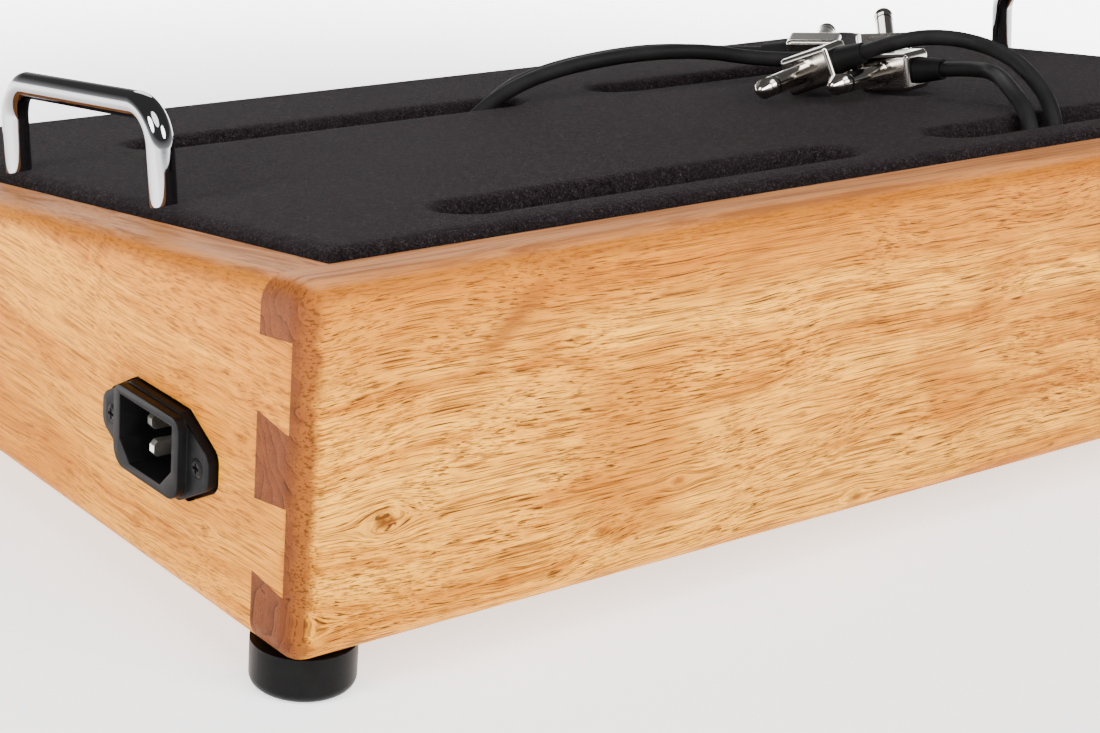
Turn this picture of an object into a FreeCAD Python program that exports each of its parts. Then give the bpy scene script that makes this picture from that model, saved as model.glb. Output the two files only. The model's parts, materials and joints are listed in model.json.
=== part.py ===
"""Pedalboard: a wedge of dovetailed hardwood boards with a carpeted deck that lifts out by two handles.

Millimetres. The origin is on the floor under the middle of the frame, +Z is up, +Y points to the tall
rear board and +X to the side board that carries the mains inlet. The deck's own frame (x, y, rise) lies
in the sloping plane of the boards' top edges, with the same x and its y running up the slope.
"""
import FreeCAD
import Part
import Sketcher
import math
import os
import re

Vector = FreeCAD.Vector
Rotation = FreeCAD.Rotation
Placement = FreeCAD.Placement

DIMENSIONS = {
    # wooden frame
    "frame_length": 457,
    "frame_depth": 286,
    "rear_height": 94,
    "slope_deg": 8.4,
    "board": 18,
    "edge_round": 6.5,
    "foot_height": 12,
    # half-blind dovetails
    "lap": 5,
    "tail_root": 18.2,
    "tail_flare": 1.9,
    "tail_low": 28.3,
    "tail_high": 68.3,
    # floor of the box
    "base_thickness": 6,
    "base_rise": 6,
    "groove_depth": 5,
    "base_corner": 12,
    # deck
    "deck_proud": 3,
    "carpet": 3.5,
    "core": 9,
    "deck_gap": 0.4,
    "skirt": 2.5,
    "slot_length": 140,
    "slot_width": 17,
    "slot_offset": 89,
    "rear_slot_y": 99.5,
    "front_slot_y": -52,
    # cleats under the deck
    "cleat_width": 12,
    "cleat_height": 16,
    "cleat_screw_spacing": 150,
    "notch_radius": 8,
    "notch_depth": 7,
    # handles
    "rod_radius": 3.7,
    "handle_spacing": 79,
    "handle_rise": 24.3,
    "handle_bend": 10,
    "handle_inset": 24,
    "handle_y": 3,
    "handle_washer_radius": 5.2,
    # feet
    "foot_radius": 13,
    "foot_round": 3,
    "foot_side": 13.5,
    "foot_end": 15,
    "foot_recess_radius": 7,
    "foot_recess_depth": 7.2,
    "washer": 1.2,
    # mains inlet
    "inlet_y": 84,
    "inlet_rise": 37.5,
    "flange_span": 50,
    "flange_height": 22.7,
    "flange_flat": 23.7,
    "flange_tip": 8,
    "flange_round": 4,
    "flange_proud": 2.5,
    "flange_pocket": 2,
    "pocket_gap": 1.2,
    "hood_width": 30.6,
    "hood_height": 21.4,
    "hood_proud": 5,
    "hood_round": 3.2,
    "hood_low_round": 5,
    "socket_width": 24.4,
    "socket_height": 16.6,
    "socket_depth": 16,
    "socket_bevel": 5,
    "housing_width": 27.4,
    "housing_height": 19.8,
    "housing_depth": 21,
    "inlet_screw_span": 40,
    "inlet_screw_sunk": 1.2,
    "blade_spacing": 14,
    "blade_tabs": 29,
    "boot_width": 34,
    "boot_height": 26,
    "boot_length": 30,
    # leads
    "lead_radius": 2.5,
    "mains_radius": 3.4,
    # right-angle plugs
    "plug_radius": 3.175,
    "plug_shaft": 31,
    "plug_sleeve": 21,
    "plug_ring": 1.2,
    "plug_length": 18,
    "plug_width": 12.5,
    "plug_depth": 14,
    "plug_heel": 7.5,
    "plug_round": 1.6,
    "relief_length": 9,
    # power supply
    "psu_length": 140,
    "psu_width": 84,
    "psu_height": 32,
    "psu_wall": 2,
    "psu_x": -115,
    "psu_y": 22,
    "boss_size": 8,
    "stand_inset": 16,
    "stand_height": 4,
    "card": 1.6,
    "gland_length": 12,
}

SLOPE = "tan(slope_deg * 1 deg)"
COSINE = "cos(slope_deg * 1 deg)"
TOP = f"(foot_height + rear_height - frame_depth / 2 * {SLOPE})"
INNER_X = "(frame_length / 2 - board)"
INNER_Y = "(frame_depth / 2 - board)"
BASE_TOP = "(foot_height + base_rise + base_thickness)"
CORE_TOP = "(deck_proud - carpet)"
CORE_BOTTOM = "(deck_proud - carpet - core)"
INLET_Z = "(foot_height + inlet_rise)"

doc = FreeCAD.newDocument("pedalboard")
sheet = doc.addObject("Spreadsheet::Sheet", "dims")
for row, (alias, size) in enumerate(DIMENSIONS.items(), start=1):
    sheet.set(f"A{row}", alias)
    sheet.set(f"B{row}", str(size))
    sheet.setAlias(f"B{row}", alias)
doc.recompute()

NODES = []


def value(expression):
    """An expression in the sheet's names, as a plain number."""
    found = sheet.evalExpression(expression)
    return float(getattr(found, "Value", found))


def top_at(y, rise="0"):
    """Height, over the floor, of the plane `rise` above the boards' top edges."""
    return f"({TOP} + ({y}) * {SLOPE} + ({rise}) / {COSINE})"


def linked(expression):
    """The same expression with each of the sheet's names made a reference to its cell."""
    return re.sub(r"[a-z_]+", lambda m: f"dims.{m[0]}" if m[0] in DIMENSIONS else m[0], expression)


def bind(obj, **expressions):
    """Ties properties to the sheet; a double underscore stands for a dot."""
    for prop, expression in expressions.items():
        obj.setExpression(prop.replace("__", "."), linked(expression))
    return obj


def at(obj, x="0", y="0", z="0", turn=None):
    """Puts an object at a bound position, turned if need be."""
    if turn is not None:
        obj.Placement = Placement(Vector(), turn)
    return bind(obj, Placement__Base__x=x, Placement__Base__y=y, Placement__Base__z=z)


def node(obj, label):
    """Names a finished sub-part; its label is also its file's name."""
    obj.Label = label
    NODES.append(obj)
    return obj


# --- primitives and booleans ---------------------------------------------------------------------


def box(name, length, width, height, x="0", y="0", z="0"):
    """A box centred on x and y, standing on z."""
    obj = bind(doc.addObject("Part::Box", name), Length=length, Width=width, Height=height)
    return at(obj, f"({x}) - ({length}) / 2", f"({y}) - ({width}) / 2", z)


def cylinder(name, radius, height, x="0", y="0", z="0", axis=(0, 0, 1)):
    obj = bind(doc.addObject("Part::Cylinder", name), Radius=radius, Height=height)
    return at(obj, x, y, z, Rotation(Vector(0, 0, 1), Vector(*axis)))


def cone(name, radius, end_radius, height, x="0", y="0", z="0", axis=(0, 0, 1)):
    obj = doc.addObject("Part::Cone", name)
    bind(obj, Radius1=radius, Radius2=end_radius, Height=height)
    return at(obj, x, y, z, Rotation(Vector(0, 0, 1), Vector(*axis)))


def cut(name, base, *tools):
    obj = doc.addObject("Part::Cut", name)
    obj.Base = base
    obj.Tool = tools[0] if len(tools) == 1 else fuse(name + "_tools", *tools)
    return obj


def fuse(name, *shapes):
    obj = doc.addObject("Part::MultiFuse", name)
    obj.Shapes = list(shapes)
    return obj


def common(name, base, tool):
    obj = doc.addObject("Part::Common", name)
    obj.Base, obj.Tool = base, tool
    return obj


def group(name, shapes):
    """Separate solids that share one node."""
    obj = doc.addObject("Part::Compound", name)
    obj.Links = list(shapes)
    return obj


# --- sketched bodies -----------------------------------------------------------------------------


def new_sketch(body, plane):
    """A sketch on one of the body's own origin planes."""
    sketch = body.newObject("Sketcher::SketchObject", body.Name + "_outline")
    sketch.AttachmentSupport = [(next(o for o in body.Origin.OriginFeatures if o.Role == plane), "")]
    sketch.MapMode = "FlatFace"
    return sketch


def polygon(sketch, corners):
    """A closed outline whose corners are pairs of expressions, each held to its cells."""
    spots = [Vector(value(x), value(y), 0) for x, y in corners]
    for i, spot in enumerate(spots):
        sketch.addGeometry(Part.LineSegment(spot, spots[(i + 1) % len(spots)]), False)
    for i in range(len(spots)):
        sketch.addConstraint(Sketcher.Constraint("Coincident", i, 2, (i + 1) % len(spots), 1))
    for i, (corner, spot) in enumerate(zip(corners, spots)):
        for kind, axis, expression, place in (
            ("DistanceX", -2, corner[0], spot.x),
            ("DistanceY", -1, corner[1], spot.y),
        ):
            if abs(place) < 1e-9:
                sketch.addConstraint(Sketcher.Constraint("PointOnObject", i, 1, axis))
            else:
                index = sketch.addConstraint(Sketcher.Constraint(kind, -1, 1, i, 1, place))
                sketch.setExpression(f"Constraints[{index}]", linked(expression))


def plate(name, plane, corners, thickness, midplane=False):
    """A body padded from an outline on an origin plane."""
    body = doc.addObject("PartDesign::Body", name)
    sketch = new_sketch(body, plane)
    polygon(sketch, corners)
    pad = body.newObject("PartDesign::Pad", name + "_pad")
    pad.Profile = sketch
    pad.Midplane = midplane
    bind(pad, Length=thickness)
    sketch.Visibility = False
    return body


def turned(name, corners):
    """A body revolved about Z from an outline of (radius, height) corners."""
    body = doc.addObject("PartDesign::Body", name)
    sketch = new_sketch(body, "XZ_Plane")
    polygon(sketch, corners)
    revolution = body.newObject("PartDesign::Revolution", name + "_turn")
    revolution.Profile = sketch
    revolution.ReferenceAxis = (sketch, ["V_Axis"])
    revolution.Angle = 360
    return body


def soften(body, radius, wanted=None, kind="Fillet"):
    """Rounds or bevels the edges for which `wanted` is true, or all of them."""
    doc.recompute()
    base = body.Tip
    edges = [
        f"Edge{i}" for i, edge in enumerate(base.Shape.Edges, start=1) if wanted is None or wanted(edge)
    ]
    obj = body.newObject(f"PartDesign::{kind}", f"{body.Name}_{kind.lower()}")
    obj.Base = (base, edges)
    bind(obj, **{"Radius" if kind == "Fillet" else "Size": radius})
    return body


def along(direction):
    """A test for straight edges that run along a direction."""
    wanted = Vector(*direction)

    def test(edge):
        return isinstance(edge.Curve, Part.Line) and abs(edge.Curve.Direction.dot(wanted)) > 0.999

    return test


def rectangle(width, height, x="0", y="0"):
    """The four corners of a rectangle centred on a point."""
    signs = ((-1, -1), (1, -1), (1, 1), (-1, 1))
    return [(f"({x}) + ({width}) * {i} / 2", f"({y}) + ({height}) * {j} / 2") for i, j in signs]


# --- fasteners and cords -------------------------------------------------------------------------


def screw(name, shank, length, head, head_height, flush=False):
    """A cross-head screw and its hole: the head sits on z = 0, or ends there if flush, above the shank."""
    shaft = cylinder(name + "_shaft", str(shank / 2), str(length), z=str(-length))
    if flush:
        top = cone(name + "_head", str(shank / 2), str(head / 2), str(head_height), z=str(-head_height))
        level = 0
    else:
        lower = cylinder(name + "_rim", str(head / 2), str(head_height * 0.55))
        crown = cone(
            name + "_crown", str(head / 2), str(head * 0.3), str(head_height * 0.45),
            z=str(head_height * 0.55),
        )
        top = fuse(name + "_head", lower, crown)
        level = head_height
    deep = min(1.2, head_height * 0.6)
    slots = [
        box(f"{name}_slot_{i}", str(a), str(b), "2", z=str(level - deep))
        for i, (a, b) in enumerate(((head * 0.5, 0.7), (0.7, head * 0.5)))
    ]
    blank = fuse(name + "_blank", shaft, top)
    return cut(name, blank, *slots), group(name + "_hole", [blank])


def aim(fixing, spot, into):
    """Stands a screw, and the hole it makes, on a point with the shank pointing into the material."""
    place = Placement(Vector(*spot), Rotation(Vector(0, 0, -1), Vector(*into)))
    for obj in fixing:
        obj.Placement = place
    return fixing


def fasteners(label, fixings, place=Placement()):
    """The node that a set of screws shares, and the holes that they make."""
    screws = node(group(f"{label}_set", [obj for obj, _ in fixings]), label)
    holes = group(f"{label}_holes", [hole for _, hole in fixings])
    screws.Placement = place
    holes.Placement = place
    return holes


def tube(name, points, radius):
    """A cord's solid: straight runs joined by tangent arcs, as large as the runs allow."""
    spots = [Vector(*p) for p in points]
    edges = []
    start = spots[0]
    radii = []
    for before, corner, after in zip(spots, spots[1:], spots[2:]):
        back = (before - corner).normalize()
        ahead = (after - corner).normalize()
        half_turn = (math.pi - back.getAngle(ahead)) / 2
        reach = 0.45 * min(before.distanceToPoint(corner), corner.distanceToPoint(after))
        bend = reach / math.tan(half_turn)
        radii.append(bend)
        inward = (back + ahead).normalize()
        centre_distance = math.hypot(bend, reach)
        middle = corner + inward * (centre_distance - bend)
        arc_start = corner + back * reach
        arc_end = corner + ahead * reach
        edges.append(Part.LineSegment(start, arc_start).toShape())
        edges.append(Part.Arc(arc_start, middle, arc_end).toShape())
        start = arc_end
    edges.append(Part.LineSegment(start, spots[-1]).toShape())
    path = Part.Wire(edges)
    profile = Part.Wire([Part.makeCircle(radius, spots[0], spots[1] - spots[0])])
    obj = doc.addObject("Part::Feature", name)
    obj.Shape = path.makePipeShell([profile], True, False)
    expected = math.pi * radius**2 * path.Length
    print(
        f"{name}: length {path.Length:.1f}, volume ratio {obj.Shape.Volume / expected:.4f},",
        "bend radii", " ".join(f"{r:.0f}" for r in radii),
    )
    return obj


def frame_turn(x_axis, z_axis):
    """The rotation whose z is one direction and whose x is as near as it can be to another."""
    z = Vector(*z_axis).normalize()
    x = Vector(*x_axis)
    x = (x - z * x.dot(z)).normalize()
    return Rotation(x, z.cross(x), z, "ZXY")


# --- wooden frame --------------------------------------------------------------------------------

half_depth = "frame_depth / 2"
envelope = plate(
    "envelope",
    "YZ_Plane",
    [
        (f"-{half_depth}", "foot_height"),
        (half_depth, "foot_height"),
        (half_depth, top_at(half_depth)),
        (f"-{half_depth}", top_at(f"-{half_depth}")),
    ],
    "frame_length",
    midplane=True,
)
soften(envelope, "edge_round")


def tail(name, side, end, height):
    """One dovetail: as deep as the side board, narrow where it leaves it and wide at its end."""
    obj = doc.addObject("Part::Wedge", name)
    narrow = [f"foot_height + {height} {s} tail_root / 2" for s in "-+"]
    wide = [f"foot_height + {height} {s} (tail_root / 2 + tail_flare)" for s in "-+"]
    first, second = (narrow, wide) if end > 0 else (wide, narrow)
    inner, outer = INNER_X, "frame_length / 2"
    x_range = (inner, outer) if side > 0 else (f"-{outer}", f"-{inner}")
    y_range = (INNER_Y, f"({half_depth} - lap)") if end > 0 else (f"-({half_depth} - lap)", f"-{INNER_Y}")
    return bind(
        obj,
        Xmin=x_range[0], Xmax=x_range[1], X2min=x_range[0], X2max=x_range[1],
        Ymin=y_range[0], Ymax=y_range[1],
        Zmin=first[0], Zmax=first[1], Z2min=second[0], Z2max=second[1],
    )


TAILS = ((1, "tail_low"), (1, "tail_high"), (-1, "tail_low"))
tails = {
    side: [tail(f"tail_{side + 1}_{i}", side, end, height) for i, (end, height) in enumerate(TAILS)]
    for side in (-1, 1)
}

panel_blank = plate(
    "panel_blank",
    "XY_Plane",
    rectangle(f"2 * ({INNER_X} + groove_depth)", f"2 * ({INNER_Y} + groove_depth)"),
    "base_thickness",
)
soften(panel_blank, "base_corner", along((0, 0, 1)), "Chamfer")
at(panel_blank, z="foot_height + base_rise")

# feet: each a turned disc with a recess for its screw and washer
shank = 2
FOOT_PROFILE = [
    (str(shank), "foot_height"),
    ("foot_radius", "foot_height"),
    ("foot_radius", "0"),
    ("foot_recess_radius", "0"),
    ("foot_recess_radius", "foot_recess_depth"),
    (str(shank), "foot_recess_depth"),
]


def outer_rim(edge):
    """True for the circle where the foot's side meets its underside."""
    return (
        isinstance(edge.Curve, Part.Circle)
        and edge.Curve.Radius > value("foot_radius") - 0.1
        and edge.BoundBox.ZMax < 0.1
    )


foot_x = "(frame_length / 2 - foot_side)"
foot_y = "(frame_depth / 2 - foot_end)"
foot_washers = []
foot_screws = []
FEET = (("rear_left", -1, 1), ("rear_right", 1, 1), ("front_left", -1, -1), ("front_right", 1, -1))
for label, i, j in FEET:
    foot = soften(turned(f"foot_{label}_body", FOOT_PROFILE), "foot_round", outer_rim)
    at(foot, f"{i} * {foot_x}", f"{j} * {foot_y}")
    node(foot, f"foot_{label}")
    washer = cut(
        f"foot_washer_{label}",
        cylinder(f"foot_disc_{label}", "5.5", "washer", z="foot_recess_depth - washer"),
        cylinder(f"foot_hole_{label}", str(shank), "foot_height"),
    )
    foot_washers.append(at(washer, f"{i} * {foot_x}", f"{j} * {foot_y}"))
    fixing = screw(f"foot_screw_{label}", 2 * shank, 23, 8, 2.4)
    spot = (value(f"{i} * {foot_x}"), value(f"{j} * {foot_y}"), value("foot_recess_depth - washer"))
    foot_screws.append(aim(fixing, spot, (0, 0, 1)))
foot_washers = node(group("foot_washer_set", foot_washers), "foot_washers")
foot_holes = fasteners("foot_screws", foot_screws)

# cleats: strips along the four boards that the deck rests on
cleat_end = f"({INNER_Y} - cleat_width)"


def cleat(name, y_from, y_to, length):
    corners = [
        (y_from, f"{top_at(y_from, CORE_BOTTOM)} - cleat_height"),
        (y_to, f"{top_at(y_to, CORE_BOTTOM)} - cleat_height"),
        (y_to, top_at(y_to, CORE_BOTTOM)),
        (y_from, top_at(y_from, CORE_BOTTOM)),
    ]
    return plate(name, "YZ_Plane", corners, length, midplane=True)


rear_strip = cleat("rear_strip", cleat_end, INNER_Y, f"2 * {INNER_X}")
front_strip = cleat("front_strip", f"-{INNER_Y}", f"-{cleat_end}", f"2 * {INNER_X}")
side_strips = {}
for i in (-1, 1):
    strip = cleat(f"side_strip_{i + 1}", f"-{cleat_end}", cleat_end, "cleat_width")
    side_strips[i] = at(strip, f"{i} * ({INNER_X} - cleat_width / 2)")

cleat_screws = []


def cleat_screw(spot, into):
    fixing = screw(f"cleat_screw_{len(cleat_screws)}", 3.5, 25, 7, 2, flush=True)
    cleat_screws.append(aim(fixing, spot, into))


for j in (-1, 1):
    face_y = value(f"{j} * {cleat_end}")
    face_z = value(f"{top_at(f'{j} * {cleat_end}', CORE_BOTTOM)} - cleat_height / 2")
    for i in (-1, 0, 1):
        cleat_screw((i * value("cleat_screw_spacing"), face_y, face_z), (0, j, 0))
for i in (-1, 1):
    face_x = value(f"{i} * ({INNER_X} - cleat_width)")
    for y in (-85, 88):
        face_z = value(f"{top_at(str(y), CORE_BOTTOM)} - cleat_height / 2")
        cleat_screw((face_x, y, face_z), (i, 0, 0))
cleat_holes = fasteners("cleat_screws", cleat_screws)

# --- mains inlet: built about the middle of its hole in the board's outer face ---------------------


def flange_outline(grow="0"):
    """Eight corners: flats above and below, and blunt tips past the screws."""
    flat = f"(flange_flat + {grow}) / 2"
    high = f"(flange_height + {grow}) / 2"
    wide = f"(flange_span + {grow}) / 2"
    blunt = f"(flange_tip + {grow}) / 2"
    quarter = [(wide, blunt), (flat, high)]
    right = [(wide, f"-{blunt}"), *quarter]
    left = [(f"-{flat}", high), (f"-{wide}", blunt), (f"-{wide}", f"-{blunt}")]
    return [*right, *left, (f"-{flat}", f"-{high}"), (flat, f"-{high}")]


def on_inlet(obj, x="0"):
    """Moves a piece from the inlet's own frame to the outer face of the side board."""
    return at(obj, f"frame_length / 2 + ({x})", "inlet_y", INLET_Z)


def tip_edges(edge):
    """The edges along X at the flange's blunt ends."""
    return along((1, 0, 0))(edge) and abs(edge.CenterOfMass.y) > value("flange_span / 2") - 2


def lower_edges(edge):
    """The edges along X below the inlet's middle."""
    return along((1, 0, 0))(edge) and edge.CenterOfMass.z < 0


def upper_edges(edge):
    """The edges along X above the inlet's middle."""
    return along((1, 0, 0))(edge) and edge.CenterOfMass.z > 0


flange_rear = "flange_pocket"
flange = plate("flange", "YZ_Plane", flange_outline(), f"flange_proud + {flange_rear}")
on_inlet(soften(flange, "flange_round", tip_edges), f"-{flange_rear}")
pocket = plate("flange_seat", "YZ_Plane", flange_outline("pocket_gap"), f"{flange_rear} + 5")
soften(pocket, "flange_round", tip_edges)
on_inlet(pocket, f"-{flange_rear}")
hood = plate("hood", "YZ_Plane", rectangle("hood_width", "hood_height"), f"hood_proud + {flange_rear}")
soften(hood, "hood_low_round", lower_edges)
on_inlet(soften(hood, "hood_round", upper_edges), f"-{flange_rear}")
housing = plate("housing", "YZ_Plane", rectangle("housing_width", "housing_height"), "housing_depth")
on_inlet(soften(housing, "2", along((1, 0, 0))), "-housing_depth")
socket = plate("socket", "YZ_Plane", rectangle("socket_width", "socket_height"), "socket_depth + 1")

soften(socket, "socket_bevel", lower_edges, "Chamfer")
on_inlet(socket, "hood_proud - socket_depth")


def blade(name, across, up, tip):
    """A flat contact with a bevelled tip; it runs back through the housing to its tab."""
    corners = [
        ("-blade_tabs", f"{up} - 2"),
        (f"{tip} - 1", f"{up} - 2"),
        (tip, f"{up} - 0.9"),
        (tip, f"{up} + 0.9"),
        (f"{tip} - 1", f"{up} + 2"),
        ("-blade_tabs", f"{up} + 2"),
    ]
    body = plate(name, "XZ_Plane", corners, "2", midplane=True)
    return at(body, "frame_length / 2", f"inlet_y + ({across})", INLET_Z)


live_pin = node(blade("live_blade", "blade_spacing / 2", "2", "hood_proud - 5.4"), "inlet_live_pin")
neutral_pin = node(blade("neutral_blade", "-blade_spacing / 2", "2", "hood_proud - 5.4"), "inlet_neutral_pin")
earth_pin = node(blade("earth_blade", "0", "-2", "hood_proud - 2"), "inlet_earth_pin")

inlet_screws = []
for i in (-1, 1):
    fixing = screw(f"inlet_screw_{i + 1}", 3, 15, 5.6, 1.7)
    spot = (
        value("frame_length / 2 + flange_proud - inlet_screw_sunk"),
        value(f"inlet_y + {i} * inlet_screw_span / 2"),
        value(INLET_Z),
    )
    inlet_screws.append(aim(fixing, spot, (-1, 0, 0)))
inlet_holes = fasteners("inlet_screws", inlet_screws)

moulding = fuse("inlet_moulding", flange, hood, housing)
node(cut("inlet_block", moulding, socket, live_pin, neutral_pin, earth_pin, inlet_holes), "inlet_body")

boot_length = "boot_length"
boot = plate("boot_block", "YZ_Plane", rectangle("boot_width", "boot_height"), boot_length)
on_inlet(soften(boot, "4", along((1, 0, 0))), f"-board - {boot_length}")
boot_room = box(
    "boot_room", f"board + {boot_length} - 8 + 1", "housing_width", "housing_height",
    f"frame_length / 2 - (board + {boot_length} - 8) / 2 + 0.5", "inlet_y", f"{INLET_Z} - housing_height / 2",
)
node(cut("boot_shell", boot, boot_room), "inlet_boot")

# --- boards --------------------------------------------------------------------------------------


def slab(name, length, width, x="0", y="0"):
    """The part of the outer envelope inside an upright block."""
    return box(name, length, width, "foot_height + rear_height + 10", x, y)


cut_out = box(
    "inlet_opening", "board + 10", "housing_width + 0.6", "housing_height + 0.6",
    "frame_length / 2 - board / 2", "inlet_y", f"{INLET_Z} - (housing_height + 0.6) / 2",
)
for label, j, sockets in (
    ("rear", 1, [tails[i][n] for i in (-1, 1) for n in (0, 1)]),
    ("front", -1, [tails[i][2] for i in (-1, 1)]),
):
    blank = common(
        f"{label}_blank", envelope,
        slab(f"{label}_slab", "frame_length", "board", y=f"{j} * (frame_depth - board) / 2"),
    )
    board_cut = cut(f"{label}_work", blank, *sockets, panel_blank, foot_holes, cleat_holes)
    node(board_cut, f"{label}_board")
for label, i, extra in (("left_side", -1, []), ("right_side", 1, [cut_out, pocket, inlet_holes])):
    middle = slab(
        f"{label}_slab", "board", f"2 * {INNER_Y}", x=f"{i} * (frame_length - board) / 2"
    )
    blank = common(f"{label}_blank", envelope, fuse(f"{label}_outline", middle, *tails[i]))
    node(cut(f"{label}_work", blank, panel_blank, foot_holes, cleat_holes, *extra), f"{label}_board")

node(cut("rear_cleat", rear_strip, cleat_holes), "deck_cleat_rear")
node(cut("front_cleat", front_strip, cleat_holes), "deck_cleat_front")

# --- deck ----------------------------------------------------------------------------------------

DECK = Placement(Vector(0, 0, value(TOP)), Rotation(Vector(1, 0, 0), value("slope_deg")))


def on_deck(obj):
    """Moves an object from the deck's own frame into place."""
    obj.Placement = DECK.multiply(obj.Placement)
    return obj


def deck_layer(name, margin, low, high):
    """A layer of the deck between two rises, upright all round, `margin` inside the boards."""
    reach = f"({INNER_Y} - ({margin}))"
    corners = [
        (f"-{reach}", top_at(f"-{reach}", low)),
        (reach, top_at(reach, low)),
        (reach, top_at(reach, high)),
        (f"-{reach}", top_at(f"-{reach}", high)),
    ]
    return plate(name, "YZ_Plane", corners, f"2 * ({INNER_X} - ({margin}))", midplane=True)


def stadium(name, x, y, grow="0"):
    """An upright slot-shaped column through the deck."""
    width = f"(slot_width + {grow})"
    straight = "(slot_length - slot_width)"
    height = "200"
    ends = [
        cylinder(f"{name}_end_{i + 1}", f"{width} / 2", height, f"({x}) + {i} * {straight} / 2", y)
        for i in (-1, 1)
    ]
    return fuse(name, box(f"{name}_middle", straight, width, height, x, y), *ends)


SLOTS = [(f"{i} * slot_offset", y) for y in ("rear_slot_y", "front_slot_y") for i in (-1, 1)]
slots = [stadium(f"slot_{n}", x, y) for n, (x, y) in enumerate(SLOTS)]
wide_slots = [stadium(f"wide_slot_{n}", x, y, "2 * skirt") for n, (x, y) in enumerate(SLOTS)]
all_slots = fuse("slots", *slots)
all_wide_slots = fuse("wide_slots", *wide_slots)

HANDLES = [
    (label, f"{i} * (frame_length / 2 - handle_inset)") for label, i in (("left", -1), ("right", 1))
]
POSTS = [(x, f"handle_y + {j} * handle_spacing / 2") for _, x in HANDLES for j in (-1, 1)]

handle_screws = []
handle_washers = []
notches = []
sleeves = []
for n, (x, y) in enumerate(POSTS):
    under_washer = f"{CORE_BOTTOM} - washer"
    notch_floor = f"{CORE_BOTTOM} - notch_depth"
    spot = Vector(value(x), value(y), value(under_washer))
    fixing = screw(f"handle_screw_{n}", 4, 18, 7, 2.4)
    handle_screws.append(aim(fixing, spot, (0, 0, 1)))
    disc = cylinder(f"handle_disc_{n}", "handle_washer_radius", "washer", x, y, under_washer)
    hole = cylinder(f"washer_hole_{n}", "2", "30", x, y, "-20")
    handle_washers.append(cut(f"handle_washer_{n}", disc, hole))
    notches.append(cylinder(f"notch_{n}", "notch_radius", "notch_depth + 5", x, y, notch_floor))
    sleeves.append(cylinder(f"post_hole_{n}", "rod_radius + 0.3", "20", x, y, CORE_TOP))
handle_holes = fasteners("handle_screws", handle_screws, DECK)
handle_washers = node(on_deck(group("handle_washer_set", handle_washers)), "handle_washers")
notches = on_deck(fuse("cleat_notches", *notches))
sleeves = on_deck(fuse("post_holes", *sleeves))

for label, i in (("left", -1), ("right", 1)):
    node(cut(f"{label}_cleat", side_strips[i], cleat_holes, notches), f"deck_cleat_{label}")

skirt_bottom = f"({CORE_BOTTOM} + 0.3)"
felt = deck_layer("felt_block", "deck_gap", skirt_bottom, "deck_proud")


def top_edges(edge):
    """The four edges round the top of the felt."""
    centre = edge.CenterOfMass
    level = value(top_at(str(centre.y), "deck_proud"))
    return abs(centre.z - level) < 0.1


soften(felt, "2.2", top_edges)
room = deck_layer("room_block", "deck_gap + skirt", f"{CORE_BOTTOM} - 5", CORE_TOP)
lining_block = deck_layer("lining_block", "20", skirt_bottom, "deck_proud - 1")
linings = common("slot_linings", all_wide_slots, lining_block)
felt_shell = cut("felt_shell", felt, room)
node(cut("felt_cover", fuse("felt_lined", felt_shell, linings), all_slots, sleeves), "deck_carpet")

# handles: bent rods that stand square to the deck
post = "(handle_rise + deck_proud - handle_bend)"
for label, x in HANDLES:
    pieces = [
        cylinder(
            f"{label}_bar", "rod_radius", "handle_spacing - 2 * handle_bend", x,
            "handle_y - handle_spacing / 2 + handle_bend", "handle_rise + deck_proud", (0, 1, 0),
        )
    ]
    for j in (-1, 1):
        end_y = f"handle_y + {j} * handle_spacing / 2"
        pieces.append(
            cylinder(f"{label}_post_{j + 1}", "rod_radius", f"{post} - {CORE_TOP}", x, end_y, CORE_TOP)
        )
        bend = doc.addObject("Part::Torus", f"{label}_bend_{j + 1}")
        bind(bend, Radius1="handle_bend", Radius2="rod_radius")
        bend.Angle3 = 90
        turn = Rotation(Vector(0, j, 0), Vector(0, 0, 1), Vector(j, 0, 0), "ZXY")
        pieces.append(at(bend, x, f"{end_y} - {j} * handle_bend", post, turn))
    rod = on_deck(fuse(f"{label}_rod", *pieces))
    node(cut(f"{label}_handle", rod, handle_holes), f"handle_{label}")

# --- patch leads, in the deck's own frame --------------------------------------------------------

# from the plug at the left, over the deck, down a front slot, under the deck, up a rear slot to its
# other plug
LEAD_1 = [
    (-81.2, -5.0, 11.6),
    (-70.8, -15.0, 11.3),
    (-58.0, -21.5, 12.8),
    (-43.0, -24.3, 15.9),
    (-27.0, -29.0, 16.8),
    (-10.0, -32.5, 16.2),
    (6.0, -37.0, 14.2),
    (20.0, -41.5, 10.6),
    (31.5, -46.0, 4.5),
    (40.0, -50.0, -4.0),
    (43.5, -51.5, -18.0),
    (39.0, -46.5, -31.0),
    (28.0, -34.0, -37.0),
    (15.5, -18.5, -33.0),
    (6.0, -4.0, -22.5),
    (-1.0, 8.5, -14.0),
    (-9.0, 25.5, -14.0),
    (-16.0, 40.0, -21.5),
    (-26.0, 56.5, -30.5),
    (-38.5, 73.0, -36.0),
    (-51.5, 88.0, -33.5),
    (-60.0, 98.5, -22.0),
    (-62.5, 101.0, -8.0),
    (-64.5, 96.0, 4.5),
    (-69.0, 84.5, 10.5),
    (-78.5, 72.0, 12.5),
    (-85.5, 58.2, 13.0),
    (-82.4, 45.2, 11.9),
]
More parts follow.
